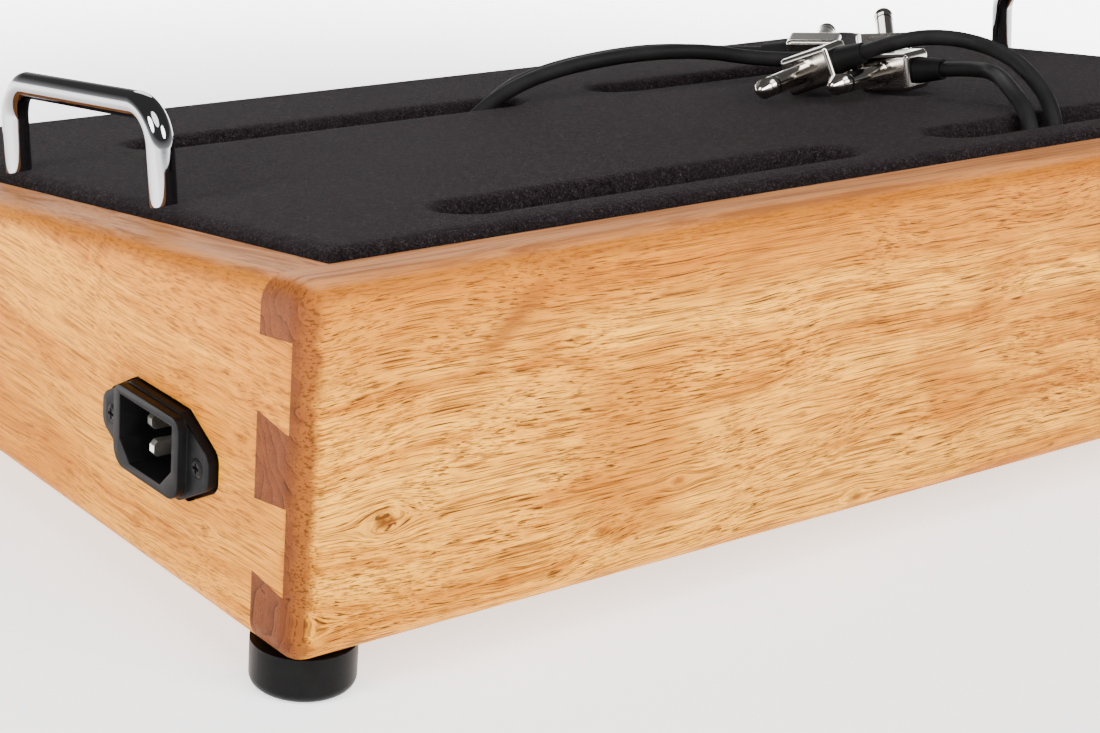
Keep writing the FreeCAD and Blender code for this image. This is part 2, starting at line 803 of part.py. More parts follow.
LEAD_2 = [
    (-82.2, -39.0, 10.8),
    (-74.0, -48.8, 10.9),
    (-61.0, -52.0, 12.4),
    (-45.0, -47.5, 14.2),
    (-28.5, -44.0, 15.2),
    (-11.0, -42.0, 15.0),
    (5.0, -45.0, 13.0),
    (18.5, -49.5, 9.0),
    (28.0, -53.0, 2.0),
    (33.5, -55.0, -8.0),
    (32.5, -52.5, -22.0),
    (23.0, -43.0, -33.0),
    (8.5, -28.5, -35.0),
    (-5.0, -12.5, -26.5),
    (-13.0, 3.0, -14.0),
    (-21.0, 20.0, -14.0),
    (-28.5, 36.0, -21.0),
    (-38.0, 54.0, -28.5),
    (-50.5, 70.0, -33.0),
    (-63.0, 84.0, -32.0),
    (-71.0, 96.0, -22.0),
    (-73.0, 101.0, -8.0),
    (-74.5, 97.0, 5.5),
    (-79.0, 85.5, 13.0),
    (-84.0, 71.5, 18.0),
    (-83.5, 57.5, 21.5),
    (-76.0, 47.0, 23.2),
    (-66.3, 39.8, 21.8),
    (-62.9, 28.6, 17.8),
]
lead_radius = value("lead_radius")
leads = [on_deck(tube(f"lead_{n}", points, lead_radius)) for n, points in enumerate((LEAD_1, LEAD_2), 1)]
for n, lead in enumerate(leads, start=1):
    node(lead, f"patch_lead_{n}")


def clip(name, points, run, radius, lead, surface, away, turn_tab):
    """A saddle over the middle of one run, with its screw beside it; `surface` is the rise it stands on."""
    first, second = Vector(*points[run]), Vector(*points[run + 1])
    middle = (first + second) * 0.5
    up = Vector(0, 0, away)
    height = abs(middle.z - surface) + radius + 2
    saddle = box(f"{name}_saddle", "9", str(2 * radius + 4), str(height))
    foot_y = turn_tab * (radius + 2 + 4)
    tab = box(f"{name}_tab", "9", "8", "2.4", y=str(foot_y))
    turn = frame_turn(second - first, up)
    place = Placement(Vector(middle.x, middle.y, surface), turn)
    body = fuse(f"{name}_body", saddle, tab)
    body.Placement = place
    fixing = screw(f"{name}_screw", 3, 7.5, 5.4, 1.6)
    for obj in fixing:
        obj.Placement = place.multiply(Placement(Vector(0, foot_y, 2.4), Rotation()))
    if away < 0:
        for obj in (body, *fixing):
            on_deck(obj)
    return cut(name, body, lead, fixing[1]), fixing


underside = value(CORE_BOTTOM)
deck_clips = [
    clip("lead_clip_1", LEAD_1, 15, lead_radius, leads[0], underside, -1, 1),
    clip("lead_clip_2", LEAD_2, 14, lead_radius, leads[1], underside, -1, -1),
]
node(group("lead_clip_set", [body for body, _ in deck_clips]), "lead_clips")
clip_holes = fasteners("lead_clip_screws", [fixing for _, fixing in deck_clips])

core_block = deck_layer("core_block", "deck_gap + skirt", CORE_BOTTOM, CORE_TOP)
node(cut("core_panel", core_block, all_wide_slots, handle_holes, clip_holes), "deck_core")

# --- right-angle plugs ---------------------------------------------------------------------------


def plug(number, points, end, shaft):
    """A plug whose strain relief ends on a lead's end; `shaft` is the way its shaft points."""
    tip, inner = Vector(*points[end]), Vector(*points[end + 1 if end == 0 else end - 1])
    cord = (inner - tip).normalize()
    out = Vector(*shaft)
    out = (out - cord * out.dot(cord)).normalize()
    turn = Rotation(out, cord, out.cross(cord), "ZXY")
    axis_x = value("-plug_depth / 2")
    reach = value("plug_length - plug_heel + relief_length")
    origin = tip - turn.multVec(Vector(axis_x, reach, 0))
    place = Placement(origin, turn)

    def put(obj):
        placed = group(f"{obj.Name}_placed", [obj])
        placed.Placement = DECK.multiply(place)
        return placed

    name = f"plug_{number}"
    block = plate(
        f"{name}_block", "XY_Plane",
        rectangle("plug_depth", "plug_length", "-plug_depth / 2", "plug_length / 2 - plug_heel"),
        "plug_width", midplane=True,
    )
    soften(block, "plug_round")
    relief = cone(
        f"{name}_relief", "4.4", "3.3", "relief_length", "-plug_depth / 2", "plug_length - plug_heel",
        axis=(0, 1, 0),
    )
    lie = Placement(Vector(), Rotation(Vector(0, 0, 1), Vector(1, 0, 0)))
    sleeve = turned(
        f"{name}_barrel",
        [
            ("0", "0"), ("plug_radius + 1", "0"), ("plug_radius + 1", "1.5"), ("plug_radius", "1.5"),
            ("plug_radius", "plug_sleeve"), ("0", "plug_sleeve"),
        ],
    )
    ring = cylinder(f"{name}_ring", "plug_radius - 0.1", "plug_ring", x="plug_sleeve", axis=(1, 0, 0))
    nose = "plug_sleeve + plug_ring"
    contact = turned(
        f"{name}_contact",
        [
            ("0", nose), ("plug_radius", nose), ("plug_radius", f"{nose} + 2"), ("2.3", f"{nose} + 3.1"),
            ("2.3", f"{nose} + 3.5"), ("plug_radius", f"{nose} + 5.3"), ("1.3", "plug_shaft - 0.4"),
            ("0.6", "plug_shaft"), ("0", "plug_shaft"),
        ],
    )
    for piece in (sleeve, contact):
        piece.Placement = lie
    return {
        "body": put(block),
        "relief": put(relief),
        "sleeve": put(sleeve),
        "ring": put(ring),
        "tip": put(contact),
    }


PLUGS = [
    plug(1, LEAD_1, 0, (-0.59, -0.75, 0.30)),
    plug(2, LEAD_2, -1, (0.95, 0.28, -0.09)),
    plug(3, LEAD_1, -1, (0.97, 0.24, -0.03)),
    plug(4, LEAD_2, 0, (-0.77, -0.62, 0.12)),
]
for n, pieces in enumerate(PLUGS, start=1):
    node(pieces["body"], f"plug_body_{n}")
    node(pieces["relief"], f"plug_strain_relief_{n}")
    node(pieces["sleeve"], f"plug_sleeve_{n}")
for n, (a, b) in enumerate(((0, 2), (1, 3)), start=1):
    node(group(f"plug_rings_{n}", [PLUGS[a]["ring"], PLUGS[b]["ring"]]), f"plug_insulators_{n}")
    node(group(f"plug_contacts_{n}", [PLUGS[a]["tip"], PLUGS[b]["tip"]]), f"plug_tips_{n}")

# --- power supply on the base panel --------------------------------------------------------------

floor_z = f"({BASE_TOP} + psu_wall)"
rim_z = f"({BASE_TOP} + psu_height - psu_wall)"
CORNERS = [(i, j) for i in (-1, 1) for j in (-1, 1)]

tray = box("psu_tray", "psu_length", "psu_width", "psu_height - psu_wall", "psu_x", "psu_y", BASE_TOP)
hollow = box(
    "psu_hollow", "psu_length - 2 * psu_wall", "psu_width - 2 * psu_wall", "psu_height",
    "psu_x", "psu_y", floor_z,
)
boss_inset = "(boss_size / 2 + 1)"
bosses = []
stands = []
pegs = []
for n, (i, j) in enumerate(CORNERS):
    x = f"psu_x + {i} * (psu_length / 2 - {boss_inset})"
    y = f"psu_y + {j} * (psu_width / 2 - {boss_inset})"
    boss_height = "psu_height - 2 * psu_wall"
    bosses.append(box(f"psu_boss_{n}", "boss_size", "boss_size", boss_height, x, y, floor_z))
    x = f"psu_x + {i} * (psu_length / 2 - stand_inset)"
    y = f"psu_y + {j} * (psu_width / 2 - stand_inset)"
    stands.append(cylinder(f"psu_stand_{n}", "3.5", "stand_height", x, y, floor_z))
    pegs.append(cylinder(f"psu_peg_{n}", "1.5", "stand_height + 3", x, y, floor_z))
pegs = fuse("psu_pegs", *pegs)

lid_screws = []
mounting_screws = []
for n, (i, j) in enumerate(CORNERS):
    x = value(f"psu_x + {i} * (psu_length / 2 - {boss_inset})")
    y = value(f"psu_y + {j} * (psu_width / 2 - {boss_inset})")
    fixing = screw(f"lid_screw_{n}", 3, 12, 5.4, 1.6)
    lid_screws.append(aim(fixing, (x, y, value(f"{rim_z} + psu_wall")), (0, 0, -1)))
    x = value(f"psu_x + {i} * (psu_length / 2 - 26)")
    y = value(f"psu_y + {j} * (psu_width / 2 - 9)")
    fixing = screw(f"mounting_screw_{n}", 3.5, 7, 6.4, 1.8)
    mounting_screws.append(aim(fixing, (x, y, value(floor_z)), (0, 0, -1)))
lid_holes = fasteners("psu_lid_screws", lid_screws)
mounting_holes = fasteners("psu_mounting_screws", mounting_screws)

jacks = []
jack_blocks = []
for n in range(5):
    x = f"psu_x + {n - 2} * 22"
    front = "psu_y - psu_width / 2"
    block = box(f"jack_block_{n}", "9", "13", "11", x, f"{front} + 6", f"{floor_z} + stand_height + card")
    jack_blocks.append(block)
    bore = cylinder(f"jack_bore_{n}", "3.1", "9", x, f"{front} - 1", f"{floor_z} + 11.1", (0, 1, 0))
    pin = cylinder(f"jack_pin_{n}", "1", "8", x, f"{front}", f"{floor_z} + 11.1", (0, 1, 0))
    jacks.append(cut(f"jack_{n}", block, cut(f"jack_ring_{n}", bore, pin)))
node(group("jack_set", jacks), "psu_dc_sockets")

gland_z = f"({BASE_TOP} + psu_height / 2)"
wall_x = "psu_x + psu_length / 2"
outward = (1, 0, 0)
inner_x = f"{wall_x} - psu_wall - 5"
thread = cylinder("gland_thread", "6", "psu_wall + 5", inner_x, "psu_y", gland_z, outward)
collar = cylinder("gland_collar", "8.5", "5", wall_x, "psu_y", gland_z, outward)
dome = cone("gland_dome", "7.5", "5.2", "gland_length - 5", f"{wall_x} + 5", "psu_y", gland_z, outward)
node(fuse("gland", thread, collar, dome), "psu_gland")

psu_shell = fuse("psu_shell", cut("psu_open_tray", tray, hollow), *bosses, *stands, pegs)
node(cut("psu_box", psu_shell, lid_holes, mounting_holes, thread, *jack_blocks), "psu_case")
lid = box("psu_cover", "psu_length", "psu_width", "psu_wall", "psu_x", "psu_y", rim_z)
node(cut("psu_top", lid, lid_holes), "psu_lid")
card = box(
    "psu_card", "psu_length - 22", "psu_width - 26", "card", "psu_x", "psu_y",
    f"{floor_z} + stand_height",
)
node(cut("psu_board", card, pegs), "psu_circuit_board")
card_top = f"({floor_z} + stand_height + card)"
laminations = box("laminations", "34", "40", "20", "psu_x + 18", "psu_y", card_top)
winding = box("winding", "48", "24", "14", "psu_x + 18", "psu_y", f"{card_top} + 3")
node(fuse("transformer", laminations, winding), "psu_transformer")

# --- mains lead from the boot to the power supply ------------------------------------------------

boot_face = value(f"frame_length / 2 - board - {boot_length}")
gland_face = value(f"{wall_x} + gland_length")
inlet_z = value(INLET_Z)
MAINS = [
    (boot_face, value("inlet_y"), inlet_z),
    (boot_face - 18, value("inlet_y"), inlet_z),
    (146, 80, 43),
    (128, 73, 34),
    (107, 64, 28.6),
    (80, 49.6, 28.2),
    (52, 37, 28.6),
    (28, 27, 33),
    (6, 22.5, 38),
    (-14, value("psu_y"), value(gland_z)),
    (gland_face, value("psu_y"), value(gland_z)),
]
mains_radius = value("mains_radius")
mains = node(tube("mains", MAINS, mains_radius), "mains_lead")
base_top = value(BASE_TOP)
base_clips = [
    clip("mains_clip_1", MAINS, 4, mains_radius, mains, base_top, 1, 1),
    clip("mains_clip_2", MAINS, 5, mains_radius, mains, base_top, 1, 1),
]
node(group("mains_clip_set", [body for body, _ in base_clips]), "mains_lead_clips")
base_clip_holes = fasteners("mains_clip_screws", [fixing for _, fixing in base_clips])

node(cut("panel_work", panel_blank, mounting_holes, base_clip_holes), "base_panel")

# --- checks and files ----------------------------------------------------------------------------

doc.recompute()
failed = [obj.Name for obj in doc.Objects if {"Invalid", "Error"} & set(obj.State)]
if failed:
    raise RuntimeError(f"not built: {failed}")
for obj in NODES:
    if obj.Shape.isNull() or not obj.Shape.isValid() or not obj.Shape.Solids:
        raise RuntimeError(f"{obj.Label} has no sound shape")

os.makedirs("parts", exist_ok=True)
for obj in NODES:
    obj.Shape.exportStep(f"parts/{obj.Label}.step")
print(len(NODES), "sub-parts written")
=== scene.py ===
"""The looks of a dovetailed hardwood pedalboard: wood, felt, chrome, moulded plastic and patch leads.

Metres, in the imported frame: +Z up, +Y towards the tall rear board, +X towards the mains inlet. The
deck's own frame lies in the slope of the boards' top edges, with the same x and its y up the slope.
"""
import json
import math

import bmesh
import bpy
from mathutils import Matrix, Vector

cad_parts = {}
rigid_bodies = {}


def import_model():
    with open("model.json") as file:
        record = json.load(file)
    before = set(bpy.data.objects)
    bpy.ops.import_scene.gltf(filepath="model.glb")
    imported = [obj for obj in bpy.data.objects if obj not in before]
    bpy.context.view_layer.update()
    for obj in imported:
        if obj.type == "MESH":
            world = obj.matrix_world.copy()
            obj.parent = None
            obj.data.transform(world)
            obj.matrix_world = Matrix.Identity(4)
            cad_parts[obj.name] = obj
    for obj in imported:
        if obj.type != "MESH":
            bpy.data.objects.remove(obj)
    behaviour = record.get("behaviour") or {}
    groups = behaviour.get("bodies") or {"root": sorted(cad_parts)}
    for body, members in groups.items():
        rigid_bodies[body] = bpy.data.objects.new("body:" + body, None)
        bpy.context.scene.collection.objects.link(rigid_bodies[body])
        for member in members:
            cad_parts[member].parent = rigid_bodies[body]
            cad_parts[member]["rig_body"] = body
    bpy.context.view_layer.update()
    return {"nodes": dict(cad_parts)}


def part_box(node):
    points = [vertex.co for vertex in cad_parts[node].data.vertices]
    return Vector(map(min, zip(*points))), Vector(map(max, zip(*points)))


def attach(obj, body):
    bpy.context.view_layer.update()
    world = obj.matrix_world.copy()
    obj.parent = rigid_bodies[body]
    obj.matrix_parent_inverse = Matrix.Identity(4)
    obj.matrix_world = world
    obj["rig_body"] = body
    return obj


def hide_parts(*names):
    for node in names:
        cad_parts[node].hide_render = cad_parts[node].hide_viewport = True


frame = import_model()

MM = 0.001
NODES = frame["nodes"]

SLOPE = math.radians(8.4)
HALF_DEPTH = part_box("rear_board")[1].y
HALF_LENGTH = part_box("rear_board")[1].x
BOARD = 18 * MM
REAR_TOP = 106 * MM
TOP_AT_MIDDLE = REAR_TOP - HALF_DEPTH * math.tan(SLOPE)
DECK = Matrix.Translation((0, 0, TOP_AT_MIDDLE)) @ Matrix.Rotation(SLOPE, 4, "X")

scene = bpy.context.scene


def link(obj):
    scene.collection.objects.link(obj)
    return obj


# --- camera --------------------------------------------------------------------------------------

CAMERA_LENS = 81.02
CAMERA_SPOT = (0.51579, 0.56652, 0.27725)
CAMERA_FORWARD = Vector((-0.60647, -0.71778, -0.34203))
CAMERA_RIGHT = Vector((-0.77858, 0.62336, 0.07234))


def make_camera():
    """A long lens near the tall corner that carries the inlet."""
    data = bpy.data.cameras.new("camera")
    data.sensor_width = 36
    data.lens = CAMERA_LENS
    data.clip_end = 20
    camera = link(bpy.data.objects.new("camera", data))
    forward = CAMERA_FORWARD.normalized()
    right = (CAMERA_RIGHT - forward * CAMERA_RIGHT.dot(forward)).normalized()
    turn = Matrix((right, right.cross(forward), -forward)).transposed().to_4x4()
    camera.matrix_world = Matrix.Translation(CAMERA_SPOT) @ turn
    scene.camera = camera


make_camera()

# --- material helpers ----------------------------------------------------------------------------


class Nodes:
    """A new material's node tree, with short ways to add and join nodes."""

    def __init__(self, name):
        self.material = bpy.data.materials.new(name)
        self.material.use_nodes = True
        self.tree = self.material.node_tree
        self.shader = self.tree.nodes["Principled BSDF"]
        self.position = self.add("ShaderNodeTexCoord").outputs["Object"]

    def add(self, kind, **settings):
        made = self.tree.nodes.new(kind)
        for key, setting in settings.items():
            setattr(made, key, setting)
        return made

    def join(self, source, target):
        if isinstance(source, (int, float, tuple, list, Vector)):
            target.default_value = source
        else:
            self.tree.links.new(source, target)

    def math(self, operation, a, b=0.0):
        made = self.add("ShaderNodeMath", operation=operation)
        self.join(a, made.inputs[0])
        self.join(b, made.inputs[1])
        return made.outputs[0]

    def vector(self, operation, a, b=(0, 0, 0)):
        made = self.add("ShaderNodeVectorMath", operation=operation)
        self.join(a, made.inputs[0])
        self.join(b, made.inputs[1])
        return made.outputs["Value" if operation in ("DOT_PRODUCT", "LENGTH") else 0]

    def noise(self, where, scale, detail=2.0, roughness=0.5, distortion=0.0):
        made = self.add("ShaderNodeTexNoise")
        self.join(where, made.inputs["Vector"])
        made.inputs["Scale"].default_value = scale
        made.inputs["Detail"].default_value = detail
        made.inputs["Roughness"].default_value = roughness
        made.inputs["Distortion"].default_value = distortion
        return made.outputs["Fac"]

    def ramp(self, factor, *stops):
        """Colour stops of (place, colour)."""
        made = self.add("ShaderNodeValToRGB")
        self.join(factor, made.inputs[0])
        elements = made.color_ramp.elements
        while len(elements) < len(stops):
            elements.new(0.5)
        for element, (place, colour) in zip(elements, stops):
            element.position = place
            element.color = (*colour, 1)
        return made.outputs[0]

    def step(self, value, low, high, out_low=0.0, out_high=1.0):
        """A smooth rise between two values."""
        made = self.add("ShaderNodeMapRange", interpolation_type="SMOOTHSTEP")
        for socket, source in zip(made.inputs, (value, low, high, out_low, out_high)):
            self.join(source, socket)
        return made.outputs[0]

    def mix(self, factor, a, b):
        made = self.add("ShaderNodeMix", data_type="RGBA")
        self.join(factor, made.inputs[0])
        for socket, source in ((made.inputs[6], a), (made.inputs[7], b)):
            self.join((*source, 1) if isinstance(source, tuple) else source, socket)
        return made.outputs[2]

    def bump(self, height, strength, distance, normal=None):
        made = self.add("ShaderNodeBump")
        made.inputs["Strength"].default_value = strength
        made.inputs["Distance"].default_value = distance
        self.join(height, made.inputs["Height"])
        if normal is not None:
            self.join(normal, made.inputs["Normal"])
        return made.outputs[0]

    def finish(self, **sockets):
        for key, source in sockets.items():
            socket = self.shader.inputs[key.replace("_", " ")]
            if isinstance(source, tuple) and len(source) == 3:
                source = (*source, 1)
            self.join(source, socket)
        return self.material


def give(material, *names):
    """Puts a material on CAD nodes or other pieces."""
    for name in names:
        obj = NODES[name] if isinstance(name, str) else name
        obj.data.materials.clear()
        obj.data.materials.append(material)


# --- wood ----------------------------------------------------------------------------------------

# knots: place along the grain, height, length and strength, in mm, for each board's outer face
REAR_KNOTS = [
    (204.1, 45.0, 3.2, 0.90),
    (112.4, 36.5, 2.2, 0.65),
    (45.4, 18.5, 2.6, 0.60),
    (135.9, 28.0, 2.2, 0.45),
    (227.1, 22.5, 3.6, 0.75),
    (168.0, 22.0, 2.0, 0.40),
    (150.0, 81.0, 2.4, 0.35),
    (70.0, 47.0, 2.0, 0.40),
    (-60.0, 40.0, 2.6, 0.50),
    (-140.0, 62.0, 3.0, 0.60),
]
SIDE_KNOTS = [
    (118.0, 74.0, 2.4, 0.35),
    (104.0, 33.0, 2.2, 0.55),
    (72.0, 24.0, 2.2, 0.45),
    (-30.0, 30.0, 2.6, 0.50),
]
FRONT_KNOTS = [(-150.0, 40.0, 2.8, 0.6), (60.0, 28.0, 3.0, 0.6), (180.0, 45.0, 2.2, 0.4)]

# feathers: place along the grain, height, half length and half width in mm, tilt and strength
REAR_FEATHERS = [
    (170.6, 88.4, 15.0, 3.6, -43.6, 0.80),
    (152.0, 99.0, 7.0, 3.0, 20.0, 0.40),
    (96.0, 92.0, 12.0, 4.0, -50.0, 0.35),
]

# colours of the hardwood: along the grain, in the cut ends, round the corners, and the painted sheen on the
# top edges
WOOD_STREAKS = (
    (0.26, (0.25, 0.070, 0.004)),
    (0.40, (0.52, 0.180, 0.009)),
    (0.54, (0.77, 0.308, 0.016)),
    (0.72, (0.91, 0.420, 0.030)),
)
WOOD_PALE = (0.95, 0.46, 0.042)
WOOD_GOLD = (0.64, 0.205, 0.004)
WOOD_ORANGE = (0.43, 0.132, 0.006)
WOOD_BROWN = (0.21, 0.060, 0.005)
WOOD_PORE = (0.060, 0.015, 0.004)
WOOD_KNOT = (0.10, 0.020, 0.004)
END_PALE = (0.150, 0.044, 0.013)
END_BROWN = (0.088, 0.025, 0.009)
END_DARK = (0.030, 0.009, 0.004)
BURNT = (0.19, 0.056, 0.011)
BURNT_PORE = (0.045, 0.010, 0.002)
# painted sheen on the upward-facing top edges, paler and darker with the grain streaks
TOP_EDGE_SHEEN = (0.50, 0.205, 0.072)
TOP_EDGE_SHEEN_DARK = (0.26, 0.090, 0.028)
FEATHER = (0.19, 0.048, 0.006)
EDGE_BROWN = (0.30, 0.088, 0.012)
# painted shade for the walls of the inlet's pocket
POCKET_PAINTED_SHADE = (0.030, 0.009, 0.004)


class Hardwood(Nodes):
    """An oiled golden hardwood with dark pores and knots, and brown end grain where it is cut across."""

    def __init__(self, name, along_y, seed, knots, feathers):
        super().__init__(name)
        self.along_y = along_y
        self.seed = seed
        turned = self.add("ShaderNodeMapping", vector_type="POINT")
        self.join(self.position, turned.inputs["Vector"])
        turned.inputs["Rotation"].default_value = (0, 0, math.radians(-90) if along_y else 0)
        self.grain = turned.outputs[0]
        split = self.add("ShaderNodeSeparateXYZ")
        self.join(self.grain, split.inputs[0])
        self.along, self.across, self.height = split.outputs
        self.spots, lift = self.knot_masks(knots)
        self.crossing = self.feather_mask(feathers)
        self.place = self.wandering_place(lift)
        facing = self.add("ShaderNodeNewGeometry").outputs["Normal"]
        grain_axis = (0, 1, 0) if along_y else (1, 0, 0)
        self.cross_cut = self.math("ABSOLUTE", self.vector("DOT_PRODUCT", facing, grain_axis))
        self.upward = self.vector("DOT_PRODUCT", facing, (0, 0, 1))
        self.streak = self.fibres(75, 2.6, 5, 0.62, 0.3)
        self.fine = self.fibres(26, 0.55, 4, 0.65)
        self.figure = self.fibres(8, 5, 3, 0.6, 1.0)
        self.pores = self.pore_mask(12, 0.32, 0.565, 0.36, 0.56)
        self.long_pores = self.pore_mask(40, 0.34, 0.575, 0.64, 0.44)
        edge_noise = self.noise(self.vector("MULTIPLY", self.place, (380, 1500, 1500)), 1.0, 2)
        self.edge_pores = self.step(edge_noise, 0.50, 0.64)
        patches = self.noise(self.place, 180, 4, 0.6)
        self.uneven = self.math("MULTIPLY", self.math("SUBTRACT", patches, 0.5), 0.7)

    def squares(self, a, b):
        return self.math("ADD", self.math("MULTIPLY", a, a), self.math("MULTIPLY", b, b))

    def fibres(self, length, width, *rest):
        """Noise drawn out along the grain; both sizes in mm."""
        stretch = (1 / (length * MM), 1 / (width * MM), 1 / (width * MM))
        return self.noise(self.vector("MULTIPLY", self.place, stretch), 1.0, *rest)

    def knot_masks(self, knots):
        """Where the knots are dark, and how far the grain bends round them."""
        spots = 0.0
        lift = 0.0
        ragged = self.math("MULTIPLY", self.noise(self.grain, 700, 3), 1.6)
        for x, z, size, strength in knots:
            dx = self.math("MULTIPLY", self.math("SUBTRACT", self.along, x * MM), 1 / (size * MM))
            dz = self.math("MULTIPLY", self.math("SUBTRACT", self.height, z * MM), 1.9 / (size * MM))
            near = self.squares(dx, dz)
            wide = self.math("EXPONENT", self.math("MULTIPLY", near, -0.16))
            push = self.math("MULTIPLY", self.math("MULTIPLY", dz, wide), -0.9 * size * MM * strength)
            lift = self.math("ADD", push, lift)
            core = self.step(self.math("ADD", near, ragged), 2.6, 0.6, 0.0, strength)
            spots = self.math("MAXIMUM", core, spots)
        return spots, lift

    def feather_mask(self, feathers):
        """Soft dark bars that cross the grain."""
        crossing = 0.0
        for x, z, length, width, tilt, strength in feathers:
            dx = self.math("SUBTRACT", self.along, x * MM)
            dz = self.math("SUBTRACT", self.height, z * MM)
            cosine = math.cos(math.radians(tilt))
            sine = math.sin(math.radians(tilt))
            down = self.math("ADD", self.math("MULTIPLY", dx, cosine), self.math("MULTIPLY", dz, sine))
            side = self.math("SUBTRACT", self.math("MULTIPLY", dz, cosine), self.math("MULTIPLY", dx, sine))
            down = self.math("MULTIPLY", down, 1 / (length * MM))
            side = self.math("MULTIPLY", side, 1 / (width * MM))
            fade = self.math("EXPONENT", self.math("MULTIPLY", self.squares(down, side), -1.0))
            crossing = self.math("MAXIMUM", self.math("MULTIPLY", fade, strength), crossing)
        return crossing

    def wandering_place(self, lift):
        """The place that the figure is drawn at: the grain wanders, and bends round the knots."""
        wander = self.noise(self.vector("MULTIPLY", self.grain, (7, 16, 16)), 1.0, 2)
        wander = self.math("MULTIPLY", self.math("SUBTRACT", wander, 0.5), 0.020)
        joined = self.add("ShaderNodeCombineXYZ")
        self.join(self.along, joined.inputs[0])
        self.join(self.math("ADD", self.across, wander), joined.inputs[1])
        self.join(self.math("ADD", self.math("ADD", self.height, lift), wander), joined.inputs[2])
        seed = self.seed
        return self.vector("ADD", joined.outputs[0], (seed * 1.7, seed * 0.31, seed * 0.53))

    def pore_mask(self, length, width, threshold, busy_low, busy_high):
        """Thin pores, thick in some places and sparse in others."""
        pores = self.step(self.fibres(length, width, 2, 0.5), threshold, threshold + 0.085)
        busy = self.step(self.fibres(50, 10, 2), busy_low, busy_high, 0.25, 1.0)
        return self.math("MULTIPLY", pores, busy)

    def long_grain(self):
        """The faces along the grain; the side boards are more golden, with fainter pores."""
        pore_strength = 0.60 if self.along_y else 0.92
        fine_strength = 0.60 if self.along_y else 0.80
        cloud = self.fibres(75, 38, 2, 0.5, 0.5)
        band = self.fibres(170, 13, 3, 0.5, 0.3)
        body = self.ramp(self.streak, *WOOD_STREAKS)
        body = self.mix(self.step(band, 0.40, 0.62, 0.0, 0.55), body, WOOD_PALE)
        body = self.mix(self.step(band, 0.52, 0.34, 0.0, 0.50), body, WOOD_ORANGE)
        body = self.mix(self.step(self.figure, 0.54, 0.72, 0.0, 0.30), body, WOOD_PALE)
        body = self.mix(self.step(self.figure, 0.46, 0.30, 0.0, 0.30), body, WOOD_ORANGE)
        body = self.mix(self.step(cloud, 0.50, 0.36, 0.0, 0.60), body, WOOD_ORANGE)
        shoulder = self.math("ADD", self.height, self.math("MULTIPLY", cloud, 0.030))
        body = self.mix(self.step(shoulder, 0.092, 0.112, 0.0, 0.75), body, WOOD_ORANGE)
        if self.along_y:
            body = self.mix(0.38, body, WOOD_GOLD)
        body = self.mix(self.step(self.fine, 0.53, 0.37, 0.0, fine_strength), body, WOOD_BROWN)
        for pores in (self.pores, self.long_pores):
            body = self.mix(self.math("MULTIPLY", pores, pore_strength), body, WOOD_PORE)
        body = self.mix(self.crossing, body, FEATHER)
        return self.mix(self.spots, body, WOOD_KNOT)

    def end_grain(self):
        """The cut ends: rings about a heart below the board."""
        heart = (0, 0.035 + self.seed * 0.31, self.seed * 0.53 - 0.02)
        cut_place = self.vector("MULTIPLY", self.vector("SUBTRACT", self.place, heart), (0, 1, 0.8))
        wobble = self.noise(self.vector("MULTIPLY", self.place, (12, 44, 44)), 1.0, 3)
        radius = self.math("MULTIPLY", self.vector("LENGTH", cut_place), 230)
        ring = self.math("FRACT", self.math("ADD", radius, self.math("MULTIPLY", wobble, 8.0)))
        pore_noise = self.noise(self.vector("MULTIPLY", self.place, (60, 2000, 2000)), 1.0, 1)
        pores = self.math("MULTIPLY", self.step(pore_noise, 0.56, 0.68), 0.5)
        end = self.mix(ring, END_PALE, END_BROWN)
        end = self.mix(self.step(ring, 0.86, 0.99, 0.0, 0.7), end, END_DARK)
        end = self.mix(pores, end, END_DARK)
        return self.mix(self.step(self.figure, 0.35, 0.65, 0.0, 0.4), end, END_PALE)

    def round_corners(self, body, end):
        """Between the two kinds of face, the rounded corner is orange and thick with open pores."""
        band_colour = self.mix(self.math("MULTIPLY", self.edge_pores, 0.80), BURNT, BURNT_PORE)
        turn = self.math("ADD", self.cross_cut, self.uneven)
        colour = self.mix(self.step(turn, 0.02, 0.50, 0.0, 0.95), body, band_colour)
        return self.mix(self.step(turn, 0.62, 1.0), colour, end)

    def top_edges(self, colour):
        """The rounded shoulders are browner, with open pores, and the upward-facing top edges carry a
        painted sheen, paler and pinker, streaked with the real grain.
        """
        along_grain = self.step(self.cross_cut, 0.75, 0.35)
        rounding = self.step(self.math("ADD", self.upward, self.uneven), 0.05, 0.55)
        rounding = self.math("MULTIPLY", rounding, along_grain)
        shoulder = self.mix(self.math("MULTIPLY", self.edge_pores, 0.45), EDGE_BROWN, BURNT_PORE)
        colour = self.mix(self.math("MULTIPLY", rounding, 0.60), colour, shoulder)
        # painted sheen: faces that look up, along the grain, are painted paler and pinker; the streaks in
        # it follow the real grain
        top = self.math("MULTIPLY", self.step(self.upward, 0.70, 0.97), along_grain)
        painted_sheen = self.mix(self.step(self.streak, 0.36, 0.58), TOP_EDGE_SHEEN_DARK, TOP_EDGE_SHEEN)
        painted_sheen = self.mix(self.step(self.fine, 0.50, 0.36, 0.0, 0.6), painted_sheen, TOP_EDGE_SHEEN_DARK)
        return self.mix(self.math("MULTIPLY", top, 0.85), colour, painted_sheen)

